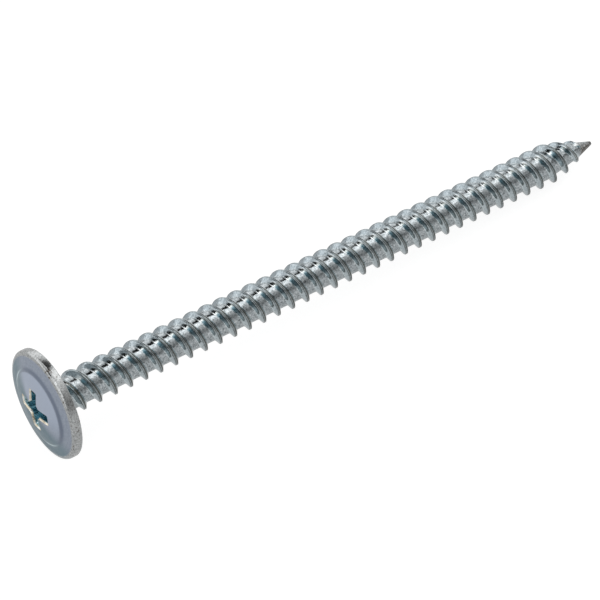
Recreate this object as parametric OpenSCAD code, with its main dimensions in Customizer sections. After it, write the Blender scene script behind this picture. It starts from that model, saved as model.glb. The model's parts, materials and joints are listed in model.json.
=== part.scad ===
// Truss head screw with a cross recess and a fully threaded shank.
// It is cold headed and thread rolled from one wire, so it is one solid.
// The thread has two starts and runs from just under the head to the point.
// The screw lies as it comes to rest: on its rim and on the last full crest.

/* [Head] */
// Diameter across the rim
head_d = 11.2; // [9:0.1:14]
// Height of the rim above the bearing face
rim_h = 0.95; // [0.75:0.05:1.1]
// Rounding of the rim's front edge
rim_front_r = 0.3; // [0.1:0.02:0.4]
// Rounding of the rim's edge at the bearing face
rim_back_r = 0.12; // [0.06:0.02:0.2]
// Diameter of the raised disc
disc_d = 7.5; // [6.6:0.1:8]
// Height of the disc's foot above the bearing face
disc_foot_h = 1.13; // [1.05:0.02:1.6]
// Height of the step from the foot up to the disc's edge
disc_step_h = 0.26; // [0.15:0.01:0.5]
// Width of that step, seen from above
disc_step_w = 0.22; // [0.1:0.02:0.3]
// Height of the dome on the disc
dome_h = 0.55; // [0.2:0.05:0.7]

/* [Recess] */
// Distance across two opposite wings at the dome
recess_d = 4.4; // [4:0.1:4.8]
// Depth of the wings, from the top of the dome
wing_depth = 2.3; // [1.8:0.1:2.4]
// Width of a wing at the dome
wing_w = 1.1; // [0.8:0.05:1.2]
// Draft of a wing's two sides
wing_draft = 5; // [2:0.5:8]
// Slope of a wing's end, from the axis
wing_end_slope = 26; // [23:1:30]
// Diameter of the round core between the wings at the dome
recess_core_d = 1.8; // [1.7:0.1:2.4]
// Slope of the pointed floor
floor_slope = 28; // [15:1:35]
// Turn of the wings about the axis
recess_turn = -11; // [-45:1:45]

/* [Shank] */
// Length from the bearing face to the tip
length = 65; // [30:1:80]
// Diameter over the crests
thread_d = 4.14; // [3.8:0.02:4.6]
// Diameter at the root
root_d = 3.02; // [2.7:0.02:3.1]
// Diameter of the neck under the head
neck_d = 3.32; // [3.14:0.02:3.6]
// Radius of the fillet between the head and the neck
neck_fillet_r = 0.35; // [0.1:0.05:0.4]
// Where the neck has narrowed to the root
root_z = 3.2; // [2:0.1:6]

/* [Thread] */
// Distance from one crest to the next
crest_gap = 1.705; // [1.4:0.005:2.2]
// Number of starts
starts = 2; // [1:1:3]
// Width of the flat on a crest
crest_w = 0.24; // [0.1:0.02:0.4]
// Angle between the two flanks
flank_angle = 60; // [40:1:64]
// Where the thread begins to rise from the neck
thread_rise_z = 0.7; // [0.7:0.05:2]
// Where it reaches its full height
thread_full_z = 2.4; // [2.1:0.1:6]
// Where a crest crosses the underside, past the bearing face
crest_phase = 0.06; // [0:0.01:1.7]
// How far the dies drag the first turn towards the head
start_drag = 0.4; // [0:0.05:0.6]

/* [Point] */
// Length over which the core narrows, up to the tip
point_l = 6.35; // [4:0.05:9]
// Length of the steep cone at its end
tip_l = 2; // [1.8:0.05:3]
// Diameter of the core where the steep cone begins
tip_d = 1.58; // [1:0.02:1.8]
// Diameter of the blunt tip
tip_end_d = 0.4; // [0.2:0.02:0.6]
// Length over which the crests come down, up to the tip
crest_taper_l = 5.15; // [3.2:0.05:8]
// Where the last crest ends abruptly, before the tip
crest_fade_l = 2.25; // [2.2:0.05:3]
// Diameter over the crest there
crest_fade_d = 2.24; // [1.8:0.02:2.6]
// Where it has sunk into the core, before the tip
crest_end_l = 1.7; // [0.6:0.1:1.8]

/* [Hidden] */
$fn = 96;
around = 24;
overlap = 0.25;

head_r = head_d / 2;
disc_r = disc_d / 2;
disc_edge_h = disc_foot_h + disc_step_h;
head_h = disc_edge_h + dome_h;
dome_r = (disc_r * disc_r + dome_h * dome_h) / (2 * dome_h);

neck_r = neck_d / 2;
root_r = root_d / 2;
thread_r = thread_d / 2;
tip_r = tip_end_d / 2;
neck_l = neck_fillet_r + overlap;

lead = starts * crest_gap;
thread_h = thread_r - root_r;
flank_w = thread_h * tan(flank_angle / 2);
point_z = length - point_l;
steep_z = length - tip_l;
last_ring_z = length - tip_r / 2;
first_ring_z = neck_l - overlap;
crest_taper_z = length - crest_taper_l;
crest_fade_z = length - crest_fade_l;
crest_end_z = length - crest_end_l;

// Radius of the core at a distance past the bearing face
function core_r(z) = lookup(z, [
    [thread_rise_z, neck_r - 0.01],
    [root_z, root_r],
    [point_z, root_r],
    [steep_z, tip_d / 2],
    [last_ring_z, tip_r]
]);

// Radius that the crests reach there
function crest_r(z) = max(core_r(z), lookup(z, [
    [thread_rise_z, neck_r - 0.01],
    [thread_full_z, thread_r],
    [crest_taper_z, thread_r],
    [crest_fade_z, crest_fade_d / 2],
    [crest_end_z, core_r(crest_end_z)],
    [last_ring_z, tip_r]
]));

// A crest is four rows of points: a flank's foot, the two edges of the flat and the other foot.
// Each has its place along the shank and its share of the thread's height.
row_offset = [-crest_w / 2 - flank_w, -crest_w / 2, crest_w / 2, crest_w / 2 + flank_w];
row_share = [0, 1, 1, 0];
rows_a_crest = len(row_offset);
rows_a_lead = rows_a_crest * starts;
rows = rows_a_lead + rows_a_crest * (ceil(length / crest_gap) + 2);

function turn(column) = (column + 0.5) * 360 / around;
function even_z(row, column) =
    crest_phase + crest_gap * floor(row / rows_a_crest) - lead
    + row_offset[row % rows_a_crest] + lead * turn(column) / 360;
function row_z(row, column) =
    let (z = even_z(row, column))
    z - start_drag * exp(-max(z, 0) / lead);

// Each column of points ends in a point of the first ring and one of the last ring
ring_margin = 0.04;
first_row = [for (c = [0:around - 1])
    len([for (r = [0:rows - 1]) if (row_z(r, c) < first_ring_z + ring_margin) r]) - 1];
last_row = [for (c = [0:around - 1])
    len([for (r = [0:rows - 1]) if (row_z(r, c) < last_ring_z - ring_margin) r])];

function point_at(row, column) =
    let (
        z = row <= first_row[column] ? first_ring_z
            : row >= last_row[column] ? last_ring_z
            : row_z(row, column),
        share = row_share[row % rows_a_crest],
        r = core_r(z) + share * (crest_r(z) - core_r(z))
    )
    [r * cos(turn(column)), r * sin(turn(column)), z];

// Slope of the axis at which a point of the shank meets the floor that the rim rests on
function floor_angle(z, drop) =
    let (along = z + rim_back_r, down = head_r - rim_back_r - drop)
    atan2(down, along) + asin(rim_back_r / norm([along, down]));
tilt = min([for (c = [0:around - 1]) for (r = [0:rows - 1])
    let (p = point_at(r, c)) floor_angle(p.z, p.x)]);

// A full turn brings a row to the row one lead further on
function index(row, column) =
    column == around ? index(row + rows_a_lead, 0)
    : column * rows + min(max(row, first_row[column]), last_row[column]);

module shank() {
    points = [for (c = [0:around - 1]) for (r = [0:rows - 1]) point_at(r, c)];
    apex = len(points);
    sides = [
        for (c = [0:around - 1]) for (r = [0:rows - 2])
            let (
                a = index(r, c),
                b = index(r, c + 1),
                up_a = index(r + 1, c),
                up_b = index(r + 1, c + 1)
            )
            each [
                if (b != up_b) [a, up_b, b],
                if (a != up_a) [a, up_a, up_b]
            ]
    ];
    first_ring = [for (c = [0:around - 1]) index(0, c)];
    tip = [for (c = [0:around - 1]) [apex, index(rows - 1, c + 1), index(rows - 1, c)]];
    polyhedron(points = concat(points, [[0, 0, length]]), faces = concat(sides, [first_ring], tip));
}

// Half section of the head and neck, with the bearing face at zero and the dome below it
module head_section() {
    translate([0, -rim_h]) square([head_r - rim_front_r, rim_h]);
    translate([0, rim_front_r - rim_h]) {
        square([head_r - rim_back_r, rim_h - rim_front_r]);
        square([head_r, rim_h - rim_front_r - rim_back_r]);
    }
    translate([head_r - rim_front_r, rim_front_r - rim_h]) circle(rim_front_r);
    translate([head_r - rim_back_r, -rim_back_r]) circle(rim_back_r);
    polygon([
        [0, 0],
        [0, -disc_edge_h],
        [disc_r, -disc_edge_h],
        [disc_r + disc_step_w, -disc_foot_h],
        [head_r - rim_front_r, -rim_h],
        [head_r - rim_front_r, 0]
    ]);
    intersection() {
        translate([0, dome_r - head_h]) circle(dome_r);
        translate([0, -head_h]) square([disc_r, dome_h]);
    }
    difference() {
        square([neck_r + neck_fillet_r, neck_fillet_r]);
        translate([neck_r + neck_fillet_r, neck_fillet_r]) circle(neck_fillet_r);
    }
    square([neck_r, neck_l]);
}

module head() {
    rotate_extrude() head_section();
}

// The cross opens at zero and sinks along +Z: four wings with drafted sides and sloping ends,
// round a core with a pointed floor
module recess() {
    wing_end_r = recess_d / 2 - wing_depth * tan(wing_end_slope);
    wing_floor_w = wing_w - 2 * wing_depth * tan(wing_draft);
    core_r = recess_core_d / 2;
    floor_r = core_r - wing_depth * tan(wing_draft);
    for (turn = [0, 90]) rotate(turn) intersection() {
        taper(recess_d, 2 * wing_end_r);
        rotate(90) taper(wing_w, wing_floor_w);
    }
    cylinder(h = wing_depth, r1 = core_r, r2 = floor_r);
    translate([0, 0, wing_depth]) cylinder(h = floor_r * tan(floor_slope), r1 = floor_r, r2 = 0);
}

// A wedge as wide as the first width above the dome, narrowing to the second at the floor
module taper(top_w, floor_w) {
    rotate([90, 0, 0]) linear_extrude(2 * recess_d, center = true) polygon([
        [-top_w / 2, -dome_h], [top_w / 2, -dome_h], [top_w / 2, 0],
        [floor_w / 2, wing_depth], [-floor_w / 2, wing_depth], [-top_w / 2, 0]
    ]);
}

// Turned from point up to lying, with the middle of its length over the origin
module lie_down() {
    front_x = (dome_r - head_h) * cos(tilt) - dome_r;
    tip_x = length * cos(tilt);
    rim_z = (head_r - rim_back_r) * cos(tilt) - rim_back_r * sin(tilt) + rim_back_r;
    translate([-(front_x + tip_x) / 2, 0, rim_z]) rotate([0, 90 + tilt, 0]) children();
}

module screw() {
    color("#98A0A6") lie_down() difference() {
        union() {
            head();
            shank();
        }
        translate([0, 0, -head_h]) rotate(recess_turn) recess();
    }
}

screw();
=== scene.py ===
# %% [markdown]
# # A truss head screw in bright zinc
# The part is one piece of steel wire: a thin wide head with a raised disc and a cross recess,
# and a long shank with a two-start thread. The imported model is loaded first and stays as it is.
# Everything made below is placed from it.

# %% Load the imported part
import json
import math

import bpy
import numpy as np
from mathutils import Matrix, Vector


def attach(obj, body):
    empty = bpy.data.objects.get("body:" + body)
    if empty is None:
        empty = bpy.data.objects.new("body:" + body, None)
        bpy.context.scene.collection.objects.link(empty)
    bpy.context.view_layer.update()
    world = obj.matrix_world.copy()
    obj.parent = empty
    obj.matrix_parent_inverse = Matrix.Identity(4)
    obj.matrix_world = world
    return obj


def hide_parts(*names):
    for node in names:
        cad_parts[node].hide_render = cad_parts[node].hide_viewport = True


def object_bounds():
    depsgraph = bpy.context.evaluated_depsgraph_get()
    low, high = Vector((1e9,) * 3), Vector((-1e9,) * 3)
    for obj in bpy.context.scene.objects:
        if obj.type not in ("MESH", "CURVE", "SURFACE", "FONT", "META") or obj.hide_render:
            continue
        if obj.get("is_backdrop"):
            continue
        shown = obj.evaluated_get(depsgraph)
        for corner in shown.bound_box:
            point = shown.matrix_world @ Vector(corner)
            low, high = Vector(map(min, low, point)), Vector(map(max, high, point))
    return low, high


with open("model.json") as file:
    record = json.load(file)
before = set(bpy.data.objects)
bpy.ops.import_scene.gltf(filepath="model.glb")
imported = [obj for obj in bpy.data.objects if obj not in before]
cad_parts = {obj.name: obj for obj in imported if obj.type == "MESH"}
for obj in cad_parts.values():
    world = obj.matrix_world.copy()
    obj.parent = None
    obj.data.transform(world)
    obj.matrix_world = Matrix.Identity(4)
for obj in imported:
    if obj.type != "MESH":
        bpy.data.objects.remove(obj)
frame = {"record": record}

MM = 0.001
cad_low, cad_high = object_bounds()
print("CAD box in mm:", [round(v / MM, 2) for v in (*cad_low, *cad_high)])

# %% [markdown]
# ## The camera
# A product photo of a small screw is taken with a long lens from about a third of a metre, so
# the perspective is weak and the near head is only a little larger than the far tip. The camera
# looks down at the lying screw and isn't rolled: the slant in the picture comes from where it
# stands. Azimuth 0 would look along +Y.

# %% Camera
PICTURE_SIDE = 600
FOCAL_PIXELS = 3378.4
camera_azimuth = math.radians(-35.176)
camera_elevation = math.radians(48.842)
camera_distance = 327.93 * MM
camera_target = Vector((-4.062, -1.719, 3.677)) * MM

back = Vector((
    math.sin(camera_azimuth) * math.cos(camera_elevation),
    -math.cos(camera_azimuth) * math.cos(camera_elevation),
    math.sin(camera_elevation),
))
camera = bpy.data.objects.new("camera", bpy.data.cameras.new("camera"))
camera.data.sensor_width = 36
camera.data.lens = FOCAL_PIXELS / PICTURE_SIDE * camera.data.sensor_width
camera.data.clip_start = 10 * MM
camera.location = camera_target + back * camera_distance
camera.rotation_mode = "QUATERNION"
camera.rotation_quaternion = (-back).to_track_quat("-Z", "Y")
bpy.context.scene.collection.objects.link(camera)
bpy.context.scene.camera = camera
print("lens in mm:", round(camera.data.lens, 1))

# %% [markdown]
# ## Where the screw lies
# The record's mounts say where the axis runs: the drive recess is on it, and the thread mount
# gives its direction. The axis meets the bearing face where the neck begins. From there a point
# of the screw is given by how far it lies from the axis, its turn about the axis from the
# underside, and its distance towards the tip. In plain steps that is down, sideways and along.

# %% The screw's own axes
mounts = {mount["name"]: mount for mount in frame["record"]["mounts"]}
axis = Vector(mounts["thread"]["axis"]).normalized()
side = Vector((0, 1, 0))
down = side.cross(axis)
on_axis = Vector(mounts["drive_recess"]["pos_m"])
bearing_point = Vector(mounts["head_underside"]["pos_m"])
bearing_centre = on_axis + axis * (bearing_point - on_axis).dot(axis)
PLACE = np.array([down, side, axis])
print("axis slopes down by", round(math.degrees(math.asin(-axis.z)), 2), "degrees")


def to_part(points_mm):
    """Points of the screw, in millimetres along its own axes, as metres in the part's frame."""
    return np.asarray(points_mm) @ PLACE * MM + np.array(bearing_centre)


# %% [markdown]
# ## The cross recess
# A heading machine upsets the end of the wire into the head and drives a punch into it in the
# same blow, which leaves a cross with drafted walls. A boolean cut would give long thin faces
# that shade badly. So the head is a stack of rings instead, from the recess floor outwards. Each
# ring has the same number of points, so that neighbours join with plain quads, and the rings in
# the recess have the outline of the cross. Sizes are in millimetres.

# %% Outline of the cross
HEAD_COLUMNS = 192
EIGHTH = HEAD_COLUMNS // 8
recess_turn = math.radians(-11)


def eighth_of_cross(half_w, end_r, core_r, corner_r):
    """Points from the middle of a wing's end to the core's corner, 45 degrees on."""
    corner = min(corner_r, half_w * 0.9)
    join = math.sqrt(max(core_r**2 - half_w**2, (0.3 * core_r) ** 2))
    join_turn = math.atan2(half_w, join)
    points = [(end_r, (half_w - corner) * k / 5) for k in range(5)]
    for k in range(6):
        turn = math.pi / 2 * k / 5
        points.append((
            end_r - corner + corner * math.cos(turn),
            half_w - corner + corner * math.sin(turn),
        ))
    side_from, side_to = end_r - corner, join
    points += [(side_from + (side_to - side_from) * k / 6, half_w) for k in range(1, 7)]
    left = EIGHTH + 1 - len(points)
    reach = math.hypot(join, half_w)
    for k in range(1, left + 1):
        turn = join_turn + (math.pi / 4 - join_turn) * k / left
        points.append((reach * math.cos(turn), reach * math.sin(turn)))
    return points


def cross_outline(half_w, end_r, core_r, corner_r=0.18):
    """The whole outline, counter-clockwise about the axis, beginning at a wing."""
    half = eighth_of_cross(half_w, end_r, core_r, corner_r)
    quarter = half[:-1] + [(y, x) for x, y in reversed(half)][:-1]
    points = []
    for wing in range(4):
        turn = recess_turn + wing * math.pi / 2
        c, s = math.cos(turn), math.sin(turn)
        points += [(x * c - y * s, x * s + y * c) for x, y in quarter]
    return np.array(points)


print("points in an outline:", len(cross_outline(0.5, 2.0, 0.9)))

# %% [markdown]
# ## Walls and floor of the recess
# The wings narrow with depth, their ends slope in, and the punch's point leaves a low cone in
# the floor. Each depth is one ring. A few rings are enough, as the walls are flat from top to
# bottom.

# %% Rings of the recess
head_h = 1.94
recess_r = 2.2
wing_half_w = 0.5
recess_core_r = 0.93
wing_depth = 2.3
floor_drop = 0.35
wing_draft = math.tan(math.radians(5))
wing_end_slope = math.tan(math.radians(26))


def ring(outline, z):
    """One ring: its outline in two directions and a height, one or one for each point."""
    return np.column_stack([outline, np.broadcast_to(z, len(outline))])


def cross_ring(depth, grow=0.0):
    """A ring of the recess wall at a depth under the top of the dome."""
    outline = cross_outline(
        wing_half_w - depth * wing_draft + grow,
        recess_r - depth * wing_end_slope + grow,
        recess_core_r - depth * wing_draft + grow,
    )
    return ring(outline, depth - head_h)


recess_rings = []
for share in (0.12, 0.35, 0.6, 0.85):
    inner = cross_ring(wing_depth)
    inner[:, :2] *= share
    inner[:, 2] += floor_drop * (1 - share)
    recess_rings.append(inner)
recess_rings += [cross_ring(depth) for depth in (wing_depth, 2.0, 1.6, 1.2, 0.8, 0.5, 0.3)]
print("rings in the recess:", len(recess_rings))

# %% [markdown]
# ## The dome and the worn edge of the recess
# The disc on the head is slightly domed. At the recess its edge isn't sharp: the punch drags
# metal down, and drivers polish it. A bevel modifier would round every edge alike, so the edge
# gets five rings of its own. From there the rings change step by step from the cross into a
# circle.

# %% Rings of the edge and the dome
disc_r = 3.75
dome_h = 0.55
dome_r = (disc_r**2 + dome_h**2) / (2 * dome_h)
head_turns = recess_turn + 2 * math.pi * np.arange(HEAD_COLUMNS) / HEAD_COLUMNS
unit_circle = np.stack([np.cos(head_turns), np.sin(head_turns)], 1)


def dome_z(outline):
    """Height of the dome's surface at each point of an outline."""
    return -head_h + dome_r - np.sqrt(dome_r**2 - (outline**2).sum(1))


lip_rings = []
for grow, below_dome in ((0.0, 0.15), (0.02, 0.1), (0.06, 0.045), (0.1, 0.012), (0.13, 0.0)):
    lip = cross_ring(0.1, grow)
    lip[:, 2] = dome_z(lip[:, :2]) + below_dome
    lip_rings.append(lip)

dome_rings = []
for share in np.linspace(0.08, 1, 14):
    outline = lip_rings[-1][:, :2] * (1 - share) + unit_circle * (disc_r - 0.4) * share
    dome_rings.append(ring(outline, dome_z(outline)))
print("rings in the edge and the dome:", len(lip_rings), len(dome_rings))

# %% [markdown]
# ## The rim
# Outside the disc the head is thin: a soft step down from the disc, a gentle slope, a rounded
# rim and the flat underside that clamps the sheet. All of it is turned about the axis, so a list of
# distances and heights is the whole shape. A screw or spin modifier could turn it, but plain
# rings join the cross rings point by point.

# %% Section from the disc to the neck
head_r = 5.6
rim_h = 0.95
rim_front_r = 0.4
rim_back_r = 0.12
neck_r = 1.66
neck_fillet_r = 0.35


def arc(centre, radius, start, end, count):
    """Points of an arc in the section, from one angle to the other in degrees."""
    turns = np.radians(np.linspace(start, end, count))
    return [(centre[0] + radius * math.cos(t), centre[1] + radius * math.sin(t)) for t in turns]


def between(start, end, count):
    """Points spread evenly between two points of the section, without the two themselves."""
    start, end = np.array(start), np.array(end)
    return [tuple(start + (end - start) * k / (count + 1)) for k in range(1, count + 1)]


step = [(3.45 + 0.1 * k, z - head_h) for k, z in enumerate(
    (0.473, 0.503, 0.538, 0.58, 0.625, 0.67, 0.715, 0.758, 0.798, 0.822, 0.834)
)]
rim_front = (head_r - rim_front_r, rim_front_r - rim_h)
slope = [(4.6, 0.86 - head_h)]
slope += between(slope[-1], (rim_front[0], -rim_h), 4)
rim = arc(rim_front, rim_front_r, -86, 0, 9)
rim += between(rim[-1], (head_r, -rim_back_r), 2)
rim += arc((head_r - rim_back_r, -rim_back_r), rim_back_r, 0, 90, 6)
underside = [(4.2, 0), (3.0, 0)]
underside += arc((neck_r + neck_fillet_r, neck_fillet_r), neck_fillet_r, 270, 180, 6)
turned_rings = [ring(unit_circle * r, z) for r, z in step + slope + rim + underside]
head_rings = recess_rings + lip_rings + dome_rings + turned_rings
print("rings in the head:", len(head_rings))

# %% [markdown]
# ## One crest of the thread
# Flat dies roll the thread into the wire and squeeze the metal up from both sides. Where the two
# folds meet, the crest keeps a fine seam, which shows as a double line. Each row below is its
# distance from the middle of the crest in millimetres and its share of the thread's height. The
# root between the crests is plain, with a small fillet at the foot of each flank.

# %% Section of a crest
HALF_CREST = (
    (0.65, 0.0), (0.505, 0.0), (0.445, 0.03), (0.405, 0.11), (0.355, 0.25), (0.245, 0.59),
    (0.15, 0.89), (0.11, 0.97), (0.06, 1.0),
)
SEAM = 0.94
STARTS = 2
crest_gap = 1.705
lead = crest_gap * STARTS
crest_rows = [(-crest_gap / 2, 0.0)] + [(-z, share) for z, share in HALF_CREST] + [(0.0, SEAM)]
crest_rows += HALF_CREST[::-1]
rows_a_crest = len(crest_rows)
rows_a_lead = rows_a_crest * STARTS
print("rows in a crest:", rows_a_crest, "and lead in mm:", lead)

# %% [markdown]
# ## Core and crests along the shank
# The core is the wire that is left between the crests. It narrows from the neck to the root,
# keeps that size, and runs out in the point. The crests rise over it under the head and come
# down again before the point. Both are straight lines between a few stops: distance from the
# bearing face, and radius there.

# %% Core and crests
length = 65.0
thread_r = 2.05
root_r = 1.5
tip_r = 0.2
tip_ring_r = 0.24
last_z = length - tip_r
core_stops = ((0.7, neck_r), (3.2, root_r), (58.65, root_r), (63.0, 0.79), (last_z, tip_ring_r))
crest_stops = (
    (0.7, neck_r), (2.3, thread_r), (59.85, thread_r), (62.75, 1.12), (63.3, 0.7),
    (last_z, tip_ring_r),
)


def core_at(z):
    return np.interp(z, *zip(*core_stops))


def crest_at(z):
    return np.maximum(np.interp(z, *zip(*crest_stops)), core_at(z))


print("height of the thread in the middle in mm:", round(float(crest_at(30) - core_at(30)), 3))

# %% [markdown]
# ## The shank as a grid
# A screw modifier can turn one section into a thread, but not one whose core narrows and whose
# crests fade out. So the shank is a grid of points. Its rows follow the helix and its columns
# run along the shank, so that every edge of the thread is a line of the grid. The dies also drag
# the first turn a little towards the head. Dirt stays in the seam and below both edges of a
# crest, so each row also gets a share of it by its distance from the middle.

# %% Points of the shank
THREAD_COLUMNS = HEAD_COLUMNS // 2
thread_turns = recess_turn + 2 * math.pi * np.arange(THREAD_COLUMNS + 1) / THREAD_COLUMNS
crest_phase = 0.06
start_drag = 0.4
first_z = neck_fillet_r + 0.1
row_count = rows_a_lead + rows_a_crest * (int(length / crest_gap) + 2)
rows = np.arange(row_count)
offsets = np.array([crest_rows[r % rows_a_crest][0] for r in rows])
heights = np.array([crest_rows[r % rows_a_crest][1] for r in rows])
row_start = crest_phase - lead + crest_gap * (rows // rows_a_crest) + offsets

stain_stops = (
    (-0.18, 0.0), (-0.15, 0.4), (-0.11, 1.0), (-0.06, 0.2), (0.0, 0.55), (0.06, 1.0), (0.17, 1.0),
    (0.235, 0.65), (0.34, 0.0),
)
stains = np.interp(offsets, *zip(*stain_stops))
points, crest_tags, stain_tags = [], [], []
first_row, last_row, column_start = [], [], []
ring_margin = 0.012
for column in range(THREAD_COLUMNS):
    turn = thread_turns[column]
    z = row_start + lead * turn / (2 * math.pi)
    z -= start_drag * np.exp(-np.maximum(z, 0) / lead)
    first = int(np.sum(z < first_z + ring_margin)) - 1
    last = int(np.sum(z < last_z - ring_margin))
    z[first], z[last] = first_z, last_z
    kept = slice(first, last + 1)
    rise = heights * (crest_at(z) - core_at(z))
    radius = core_at(z) + rise
    first_row.append(first)
    last_row.append(last)
    column_start.append(len(points))
    for r, along in zip(radius[kept], z[kept]):
        points.append((r * math.cos(turn), r * math.sin(turn), along))
    crest_tags += list(rise[kept] / (thread_r - root_r))
    stain_tags += list(stains[kept] * (rise[kept] > 0.02))
print("points of the shank:", len(points))

# %% [markdown]
# ## Faces of the shank
# A full turn brings a row to the one a lead further on, which is how the grid closes into a
# helix. Rows that would run past either end are moved to a flat ring there, so that the head
# and the tip have a plain edge to join.

# %% Faces of the shank


def shank_point(row, column):
    """Number of the point at a row of a column, with rows past either end moved to the ring."""
    if column == THREAD_COLUMNS:
        return shank_point(row + rows_a_lead, 0)
    row = min(max(row, first_row[column]), last_row[column])
    return column_start[column] + row - first_row[column]


faces = []
for column in range(THREAD_COLUMNS):
    for row in range(row_count - 1):
        a, b = shank_point(row, column), shank_point(row, column + 1)
        up_a, up_b = shank_point(row + 1, column), shank_point(row + 1, column + 1)
        corners = [a]
        for corner in (b, up_b, up_a):
            if corner not in corners:
                corners.append(corner)
        if len(corners) > 2 and (a != up_a or b != up_b):
            faces.append(corners)
print("faces of the shank:", len(faces))

# %% [markdown]
# ## The tip
# The dies pinch the point off, and it stays slightly blunt. Three rings and one last point close
# it with a small dome. A cone to a sharp point would shade like a spike.

# %% Blunt tip
below = [shank_point(row_count, c) for c in range(THREAD_COLUMNS)]
for share in (0.4, 0.7, 0.9):
    radius, z = tip_ring_r * math.sqrt(1 - share**2), last_z + tip_r * share
    above = [len(points) + c for c in range(THREAD_COLUMNS)]
    points += [(radius * math.cos(t), radius * math.sin(t), z) for t in thread_turns[:-1]]
    for c in range(THREAD_COLUMNS):
        n = (c + 1) % THREAD_COLUMNS
        faces.append([below[c], below[n], above[n], above[c]])
    below = above
faces += [[below[c], below[(c + 1) % THREAD_COLUMNS], len(points)] for c in range(THREAD_COLUMNS)]
points.append((0, 0, length))
print("points with the tip:", len(points))

# %% [markdown]
# ## Head and shank in one skin
# The real screw is one piece, so the mesh is one closed skin too, and nothing shows a seam under
# the head. The neck ring of the head has twice as many points as the shank, so each face of the
# shank meets two of the head. Edges over 50 degrees stay sharp, all others are shaded smooth.

# %% Head joined to the shank
first_head_point = len(points)
for head_ring in head_rings:
    points += [tuple(p) for p in head_ring]
for k in range(len(head_rings) - 1):
    low, high = first_head_point + k * HEAD_COLUMNS, first_head_point + (k + 1) * HEAD_COLUMNS
    for c in range(HEAD_COLUMNS):
        n = (c + 1) % HEAD_COLUMNS
        faces.append([low + c, low + n, high + n, high + c])
neck = first_head_point + (len(head_rings) - 1) * HEAD_COLUMNS
for c in range(THREAD_COLUMNS):
    here, there = shank_point(0, c), shank_point(0, c + 1)
    fine = [neck + (2 * c + k) % HEAD_COLUMNS for k in range(3)]
    faces += [[fine[0], fine[1], here], [fine[1], there, here], [fine[1], fine[2], there]]
for c in range(HEAD_COLUMNS):
    faces.append([first_head_point + (c + 1) % HEAD_COLUMNS, first_head_point + c, len(points)])
points.append((0, 0, wing_depth + floor_drop - head_h))

mesh = bpy.data.meshes.new("zinc_plated_screw")
mesh.from_pydata([tuple(p) for p in to_part(points)], [], faces)
mesh.shade_smooth()
mesh.set_sharp_from_angle(angle=math.radians(50))
screw = bpy.data.objects.new("zinc_plated_screw", mesh)
bpy.context.scene.collection.objects.link(screw)
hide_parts("screw")
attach(screw, "root")
print("triangles:", sum(len(f.vertices) - 2 for f in mesh.polygons))

# %% [markdown]
# ## Marks for the finish
# The plating looks different from place to place: the struck face is satin, the rim is scuffed,
# edges are polished and the tip is worn. Some marks paint light and shade into the colour as
# well: a shaded band and a pale reflected strip on the flanks, a highlight at their foot, a sheen
# on the upper disc, shade on the lower face, a shaded band and a highlight line at the step,
# glints and a cream sheen on the recess edge, and shade on one side of the tip. Textures painted
# on the mesh could tell the places apart, but this shape is made from rows and rings, so each
# point already knows its place. It carries a few numbers that the material reads, most of them
# from 0 to 1.

# %% Marks on the points
local = np.array(points, dtype=float)
radial = np.hypot(local[:, 0], local[:, 1])
parts_of_head = {
    "recess": recess_rings, "bevel": lip_rings, "dome": dome_rings, "step": step, "slope": slope,
    "rim": rim, "underside": underside,
}
ring_parts = [name for name, rings in parts_of_head.items() for _ in rings]
point_parts = np.array(
    ["shank"] * first_head_point + list(np.repeat(ring_parts, HEAD_COLUMNS)) + ["recess"]
)
crest_tags, stain_tags = (
    np.concatenate([tags, np.zeros(len(points) - len(tags))]) for tags in (crest_tags, stain_tags)
)

around = np.degrees(np.arctan2(local[:, 1], -local[:, 0]))
flank = (crest_tags > 0.01) * (crest_tags < 0.9)


def near(values, middle, width):
    """1 where the values are at the middle, falling softly to 0 over the width on both sides."""
    return np.exp(-(((values - middle) / width) ** 2))


def facing(degrees):
    """How far each point lies to one side of the axis, from -1 to 1; 0 is on top, 90 the back."""
    return np.cos(np.radians(around - degrees)) * (radial > 0.01)


dark_band_r, light_line_r = 3.92, 3.93
disc_edge_r = 3.7
rim_from_r, rim_blend = 4.85, 0.5
low_side = 144
low_back = np.clip((facing(152) + 0.2) / 0.6, 0, 1)
face = np.isin(point_parts, ["bevel", "dome", "step", "slope"])
marks = {
    "crest": crest_tags,
    "stain": stain_tags,
    "along": local[:, 2],
    "upper_back": facing(27),
    # painted highlight: near white at the foot of the flanks along the top of the shank
    "foot": near(around, -5, 10) * flank * (crest_tags < 0.6),
    # painted shade: a dark teal band on the flanks, a little off the top of the shank
    "front_flank_shade": near(around, -27, 17) * flank * (crest_tags < 0.6),
    # painted reflection: a pale strip on the flanks further round on the same side
    "low_flank_reflection": np.clip((-around - 42) / 12, 0, 1) * flank,
    # worn tip, darker brown; the darkening is stronger on one side, which is painted shade
    "cone": np.clip(0.8 - 0.5 * facing(50), 0.4, 1) * np.clip((local[:, 2] - 62.8) / 0.5, 0, 1),
    "recess": point_parts == "recess",
    "bevel": (point_parts == "bevel") & (np.roll(point_parts, -HEAD_COLUMNS) == "bevel"),
    "face": face,
    # painted sheen: the disc is paler on its upper side
    "high_disc_sheen": face * (radial < disc_edge_r) * np.clip(0.4 + 0.8 * facing(-10), 0, 1),
    # painted shade: the face is darker and tealer on its low back side
    "low_face_shade": face * np.clip((facing(152) + 0.35) / 0.6, 0, 1),
    # painted shade: a darker band at the step, on the side away from the low back
    "step": face * near(radial, dark_band_r, 0.24) * np.clip(0.5 - 0.7 * facing(low_side), 0, 1),
    # painted highlight: a pale line on the disc edge, on the low back side
    "edge_light": face * near(radial, light_line_r, 0.12)
    * np.clip((facing(low_side) + 0.2) / 0.6, 0, 1),
    "rim": np.clip((radial - rim_from_r) / rim_blend, 0, 1) * (1 - low_back),
}
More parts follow.
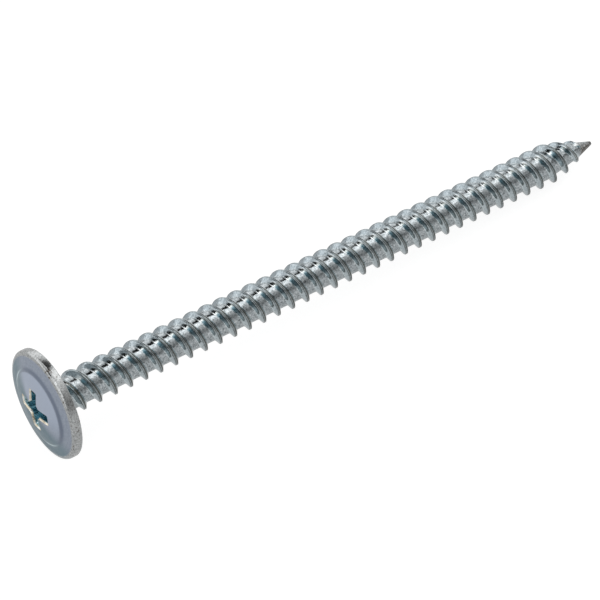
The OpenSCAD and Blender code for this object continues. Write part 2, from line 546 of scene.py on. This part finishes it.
for name, values in marks.items():
    attribute = mesh.attributes.new(name, "FLOAT", "POINT")
    attribute.data.foreach_set("value", np.asarray(values, dtype=np.float32))
print("marks:", {name: round(float(np.mean(values)), 3) for name, values in marks.items()})

# %% [markdown]
# ## Colours and nodes
# A colour picker shows sRGB, but shaders count in linear light, so colours are given as hex and
# turned to linear by one function. Materials are trees of nodes. One more function adds any kind
# of node: what it is, how it is set, and what goes into it, which is a value or the output of
# another node.

# %% Helpers for colours and nodes


def linear(hex_colour):
    """An sRGB hex colour as linear red, green, blue and an alpha of one."""
    channels = [int(hex_colour[k:k + 2], 16) / 255 for k in (1, 3, 5)]
    bent = [c / 12.92 if c <= 0.04045 else ((c + 0.055) / 1.055) ** 2.4 for c in channels]
    return (*bent, 1.0)


def add(tree, kind, settings, inputs, output=0):
    """Add a node with settings and inputs, both by name or number, and return one output."""
    node = tree.nodes.new(kind)
    for name, value in settings.items():
        setattr(node, name, value)
    for name, value in inputs.items():
        if isinstance(value, bpy.types.NodeSocket):
            tree.links.new(value, node.inputs[name])
        else:
            node.inputs[name].default_value = value
    return node.outputs[output]


def new_material(name):
    """A material with only its Principled shader; returns it, its tree and the shader's inputs."""
    material = bpy.data.materials.new(name)
    material.use_nodes = True
    return material, material.node_tree, material.node_tree.nodes["Principled BSDF"].inputs


SMOOTH = {"interpolation_type": "SMOOTHSTEP"}
MULTIPLY = {"operation": "MULTIPLY"}
ADD = {"operation": "ADD"}
print("mid grey in linear light:", round(linear("#808080")[0], 3))

# %% [markdown]
# ## Grain and patches of the plating
# Zinc is plated a few thousandths of a millimetre thick over steel that the dies have torn
# slightly. Its real grain is too fine for this picture, so it is drawn about 0.18 mm wide. Noise
# textures are enough: one each for the grain, slow patches of gloss, longer waves, breaks in the
# dirt on the seam, and scuffs on the rim. They are in the object's own metres, so a size in
# millimetres gives the scale.

# %% Noise for the plating
zinc, tree, shader = new_material("bright zinc electroplate on cold-headed steel")
mesh.materials.append(zinc)
here = add(tree, "ShaderNodeTexCoord", {}, {}, "Object")
texture = {}
for name, size_mm, detail, roughness in (
    ("grain", 0.18, 3.0, 0.7), ("patches", 0.5, 2.0, 0.6), ("waves", 0.35, 1.0, 0.6),
    ("breaks", 0.25, 2.0, 0.6), ("scuffs", 0.7, 4.0, 0.7),
):
    texture[name] = add(tree, "ShaderNodeTexNoise", {}, {
        "Vector": here, "Scale": 1 / (size_mm * MM), "Detail": detail, "Roughness": roughness,
    })
mark = {}
for name in marks:
    on_the_points = {"attribute_type": "GEOMETRY", "attribute_name": name}
    mark[name] = add(tree, "ShaderNodeAttribute", on_the_points, {}, "Fac")
print("textures:", list(texture))

# %% [markdown]
# ## Where two causes meet
# Some stains need two things at once: the seam on the crests holds dirt, but its stain fades
# on the upper back side of the screw, and scuffs are brown only on the rim. Multiplying two numbers
# between 0 and 1 says just that.

# %% Shares of the special places
fades_on_upper_back = add(tree, "ShaderNodeMapRange", SMOOTH, {
    0: mark["upper_back"], 1: 0.76, 2: 0.94, 3: 1.0, 4: 0.5,
})
broken = add(tree, "ShaderNodeMapRange", SMOOTH, {
    0: texture["breaks"], 1: 0.3, 2: 0.6, 3: 0.7, 4: 1.0,
})
seam_line = add(tree, "ShaderNodeMath", MULTIPLY, {0: mark["stain"], 1: broken})
seam_line = add(tree, "ShaderNodeMath", MULTIPLY, {0: seam_line, 1: fades_on_upper_back})
scuffed = add(tree, "ShaderNodeMapRange", SMOOTH, {0: texture["scuffs"], 1: 0.58, 2: 0.66})
scuffed = add(tree, "ShaderNodeMath", MULTIPLY, {0: scuffed, 1: mark["rim"]})
# pale spots on the recess edge: partly polish wear, partly painted highlight
wear_and_glints_on_lip = add(tree, "ShaderNodeMapRange", SMOOTH, {0: texture["scuffs"], 1: 0.5, 2: 0.58})
wear_and_glints_on_lip = add(tree, "ShaderNodeMath", MULTIPLY, {0: wear_and_glints_on_lip, 1: mark["bevel"]})
# dark spots on the recess edge: painted dark reflections
dark_edge = add(tree, "ShaderNodeMapRange", SMOOTH, {0: texture["scuffs"], 1: 0.44, 2: 0.36})
dark_edge = add(tree, "ShaderNodeMath", MULTIPLY, {0: dark_edge, 1: mark["bevel"]})
print("nodes so far:", len(tree.nodes))

# %% [markdown]
# ## Colours of the plating
# Bright zinc is a cool grey metal. The layers below lie over each other like coats of paint, the
# first at the bottom. Each has a number that says where it lies, the values between which it
# comes in, its strength and its colour. A colour ramp could hold the same colours, but not over
# different marks. The colours are those of a metal, so they tint what it mirrors, and the IOR
# stays at its default.

# %% Layers of colour
layers = (
    (mark["crest"], 0.03, 0.2, 1.0, "#A4AFB4"),
    # painted shade: dark teal band on the flanks
    (mark["front_flank_shade"], 0.0, 1.0, 1.0, "#7E9EA8"),
    # painted reflection: pale strip on the lower flanks
    (mark["low_flank_reflection"], 0.0, 1.0, 1.0, "#CBD7DA"),
    (mark["recess"], 0.0, 1.0, 1.0, "#93B8C3"),
    (mark["rim"], 0.0, 1.0, 1.0, "#B0B2B2"),
    # worn tip with painted shade on one side
    (mark["cone"], 0.0, 1.0, 0.95, "#605A54"),
    (mark["along"], 64.2, 64.8, 0.85, "#3F3833"),
    (texture["grain"], 0.5, 0.72, 0.75, "#E4E8EA"),
    (texture["grain"], 0.5, 0.3, 0.9, "#545A5B"),
    (mark["crest"], 0.1, 0.4, 0.35, "#A4AFB6"),
    # painted highlight: near white at the foot of the flanks
    (mark["foot"], 0.0, 1.0, 1.0, "#F4F8F8"),
    (mark["rim"], 0.0, 1.0, 0.35, "#B0B2B2"),
    (mark["face"], 0.0, 1.0, 0.75, "#98A2B4"),
    # painted sheen on the upper side of the disc
    (mark["high_disc_sheen"], 0.0, 1.0, 0.8, "#BAC4D5"),
    # painted shade on the low back side of the face
    (mark["low_face_shade"], 0.0, 1.0, 0.95, "#708893"),
    # painted shade: darker band at the step
    (mark["step"], 0.0, 1.0, 0.8, "#6E7788"),
    # painted highlight: pale line on the disc edge
    (mark["edge_light"], 0.0, 1.0, 1.0, "#D4E8EC"),
    # cream recess edge with pale and dark spots: partly wear, partly painted highlight and
    # reflection
    (mark["bevel"], 0.0, 1.0, 0.9, "#D9CFB8"),
    (wear_and_glints_on_lip, 0.0, 1.0, 0.9, "#F2F1EC"),
    (dark_edge, 0.0, 1.0, 0.8, "#6E665A"),
    (seam_line, 0.0, 1.0, 1.0, "#54554E"),
    (scuffed, 0.0, 1.0, 0.8, "#5A5048"),
)
colour = linear("#A8AFB2")
for where, begins, full, strength, layer_colour in layers:
    share = add(tree, "ShaderNodeMapRange", SMOOTH, {
        0: where, 1: begins, 2: full, 3: 0.0, 4: strength,
    })
    colour = add(tree, "ShaderNodeMix", {"data_type": "RGBA"}, {
        0: share, 6: colour, 7: linear(layer_colour),
    }, 2)
tree.links.new(colour, shader["Base Color"])
shader["Metallic"].default_value = 1
print("layers of colour:", len(layers))

# %% [markdown]
# ## Gloss and relief
# Brightened zinc mirrors the room, but not like glass. The shank is the glossiest, the struck
# face is satin and the rim is in between. Two bumps tilt the surface a little, one with the fine
# grain and one with longer waves, so that reflections get ragged edges. Bump is enough here, as
# the relief is under a hundredth of a millimetre.

# %% Gloss and bump
gloss = add(tree, "ShaderNodeMapRange", SMOOTH, {
    0: texture["patches"], 1: 0.35, 2: 0.65, 3: 0.05, 4: 0.11,
})
for where, rougher in ((mark["face"], 0.25), (mark["rim"], 0.12)):
    more = add(tree, "ShaderNodeMath", MULTIPLY, {0: where, 1: rougher})
    gloss = add(tree, "ShaderNodeMath", ADD, {0: gloss, 1: more})
tree.links.new(gloss, shader["Roughness"])
wave_height, grain_height = 0.008 * MM, 0.006 * MM
coarse = add(tree, "ShaderNodeBump", {}, {"Distance": wave_height, "Height": texture["waves"]})
fine = add(tree, "ShaderNodeBump", {}, {
    "Distance": grain_height, "Height": texture["grain"], "Normal": coarse,
})
tree.links.new(fine, shader["Normal"])
print("nodes in the plating:", len(tree.nodes))

# %% [markdown]
# ## The paper under the screw
# The screw lies on a sheet of white paper, which is a plain matt surface. Enough lamp light to
# make it white would burn out the metal. So it glows a little for the camera and in the metal
# instead, and its own grey keeps the soft shadow.

# %% White paper
SHEET = 3.0
corners = [(-SHEET, -SHEET, 0), (SHEET, -SHEET, 0), (SHEET, SHEET, 0), (-SHEET, SHEET, 0)]
floor_mesh = bpy.data.meshes.new("floor")
floor_mesh.from_pydata(corners, [], [(0, 1, 2, 3)])
floor = bpy.data.objects.new("floor", floor_mesh)
bpy.context.scene.collection.objects.link(floor)
floor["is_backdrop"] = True
paper, tree, shader = new_material("uncoated white paper")
floor_mesh.materials.append(paper)
shader["Base Color"].default_value = linear("#959595")
shader["Roughness"].default_value = 1
shader["Emission Color"].default_value = (1, 1, 1, 1)
glow = 0.0
for ray, strength in (
    ("Is Camera Ray", 0.86), ("Is Transmission Ray", 0.86), ("Is Glossy Ray", 0.5),
):
    seen = add(tree, "ShaderNodeLightPath", {}, {}, ray)
    part = add(tree, "ShaderNodeMath", MULTIPLY, {0: seen, 1: strength})
    glow = add(tree, "ShaderNodeMath", ADD, {0: glow, 1: part})
tree.links.new(glow, shader["Emission Strength"])
print("sheet in metres:", 2 * SHEET)

# %% [markdown]
# ## The room
# What gives a polished metal its look is what it mirrors, so the room matters more than the
# lamps. Here it is a white tent round the screw, which the world's colour stands for. The camera
# and the metal see it at a strength of one, and it lights the matt paper a little less.

# %% White tent
world = bpy.data.worlds.new("studio")
bpy.context.scene.world = world
world.use_nodes = True
tree = world.node_tree
seen = 0.0
for ray in ("Is Camera Ray", "Is Glossy Ray", "Is Transmission Ray"):
    one = add(tree, "ShaderNodeLightPath", {}, {}, ray)
    seen = add(tree, "ShaderNodeMath", {"operation": "MAXIMUM"}, {0: seen, 1: one})
on_the_paper, in_the_metal = 0.65, 1.0
level = add(tree, "ShaderNodeMapRange", {}, {
    0: seen, 1: 0.0, 2: 1.0, 3: on_the_paper, 4: in_the_metal,
})
tree.nodes["Background"].inputs["Color"].default_value = (1, 1, 1, 1)
tree.links.new(level, tree.nodes["Background"].inputs["Strength"])
print("nodes in the room:", len(tree.nodes))

# %% [markdown]
# ## The softbox
# High on the right, over the screw's far side, hangs one large softbox. It draws the white line
# along every root. An area lamp is right for it, as its size sets how wide that line is. Its
# brightness is given as radiance, and the watts follow from its area.

# %% Main softbox
MIDDLE = Vector((0, 0, 4)) * MM


def towards(azimuth, elevation):
    """Direction at an azimuth from +X towards +Y and an elevation, both in degrees."""
    a, e = math.radians(azimuth), math.radians(elevation)
    return Vector((math.cos(a) * math.cos(e), math.sin(a) * math.cos(e), math.sin(e)))


softbox_width, softbox_height, softbox_radiance = 0.215, 0.31, 0.8
softbox_side, softbox_distance = towards(20, 65), 0.5
lamp = bpy.data.objects.new("main softbox", bpy.data.lights.new("main softbox", "AREA"))
lamp.data.shape = "RECTANGLE"
lamp.data.size, lamp.data.size_y = softbox_width, softbox_height
lamp.data.energy = softbox_radiance * math.pi * softbox_width * softbox_height
lamp.location = MIDDLE + softbox_side * softbox_distance
lamp.rotation_euler = softbox_side.to_track_quat("Z", "Y").to_euler()
bpy.context.scene.collection.objects.link(lamp)
print("softbox in watts:", round(lamp.data.energy, 3))

# %% [markdown]
# ## Cards
# In an all-white tent metal looks flat. Photographers stand grey and black cards in it, and
# their reflections draw the dark bands beside each crest. The camera's own side is dark too. The
# cards here are pieces of a sphere that only the metal sees. Each has a brightness at a few
# elevations, kept on its points, and glows with it.

# %% Cards seen in the metal
CARD_DISTANCE = 1.0
CARD_COLUMNS, CARD_ROWS = 25, 31


def card(name, azimuths, stops):
    """A curved card between two azimuths; its stops are elevations and the brightness there."""
    across = np.linspace(*azimuths, CARD_COLUMNS)
    upward = np.linspace(stops[0][0], stops[-1][0], CARD_ROWS)
    corners = [MIDDLE + towards(a, e) * CARD_DISTANCE for e in upward for a in across]
    first = [k + n * CARD_COLUMNS for n in range(CARD_ROWS - 1) for k in range(CARD_COLUMNS - 1)]
    quads = [(k, k + 1, k + 1 + CARD_COLUMNS, k + CARD_COLUMNS) for k in first]
    card_mesh = bpy.data.meshes.new(name)
    card_mesh.from_pydata([tuple(c) for c in corners], [], quads)
    shade = np.repeat(np.interp(upward, *zip(*stops)), CARD_COLUMNS).astype(np.float32)
    card_mesh.attributes.new("brightness", "FLOAT", "POINT").data.foreach_set("value", shade)
    thing = bpy.data.objects.new(name, card_mesh)
    bpy.context.scene.collection.objects.link(thing)
    thing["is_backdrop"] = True
    thing.visible_camera = thing.visible_diffuse = thing.visible_shadow = False
    board, tree, shader = new_material(name)
    card_mesh.materials.append(board)
    shader["Base Color"].default_value = (0, 0, 0, 1)
    shader["Roughness"].default_value = 1
    shader["Specular IOR Level"].default_value = 0
    shader["Emission Color"].default_value = (1, 1, 1, 1)
    brightness = {"attribute_type": "GEOMETRY", "attribute_name": "brightness"}
    shine = add(tree, "ShaderNodeAttribute", brightness, {}, "Fac")
    tree.links.new(shine, shader["Emission Strength"])
    print(name, "covers azimuths", azimuths, "with", len(stops), "stops")


card("grey_card_at_the_camera", (-66, -20), (
    (0, 0.62), (8, 0.6), (20, 0.45), (31, 0.28), (42, 0.45), (54, 0.62), (62, 0.9),
))
card("grey_card_left_of_the_camera", (-140, -66), (
    (0, 0.74), (8, 0.72), (20, 0.5), (31, 0.28), (42, 0.33), (54, 0.38), (62, 0.6),
))
card("grey_card_left", (-154, -138), ((0, 0.3), (28, 0.3), (29, 0.8), (32, 1.0)))
card("white_card_left", (168, 205), ((14, 1.0), (18, 1.5), (60, 1.5), (72, 1.1)))
card("lit_backdrop", (48, 150), ((0, 1.4), (22, 1.35), (28, 1.0)))
card("black_card_behind", (44, 98), (
    (34, 0.9), (38, 0.5), (41, 0.02), (67, 0.02), (70, 0.5), (73, 1.0),
))
card("black_card_far_left", (140, 167), (
    (26, 0.9), (31, 0.35), (35, 0.05), (53, 0.05), (58, 0.5), (62, 1.0),
))

# %% [markdown]
# ## Last measures
# The boxes of the imported model and of the look are both measured by the same tool, and the
# view transform is the plain one, so that white stays white. The look goes out with the part,
# so it must stay in the same box as the imported model.

# %% Boxes and finish
bpy.context.scene.view_settings.view_transform = "Standard"
low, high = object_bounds()
{"cad": [list(cad_low), list(cad_high)], "visual": [list(low), list(high)]}
print("box in mm:", [round(v / MM, 3) for v in (*low, *high)])
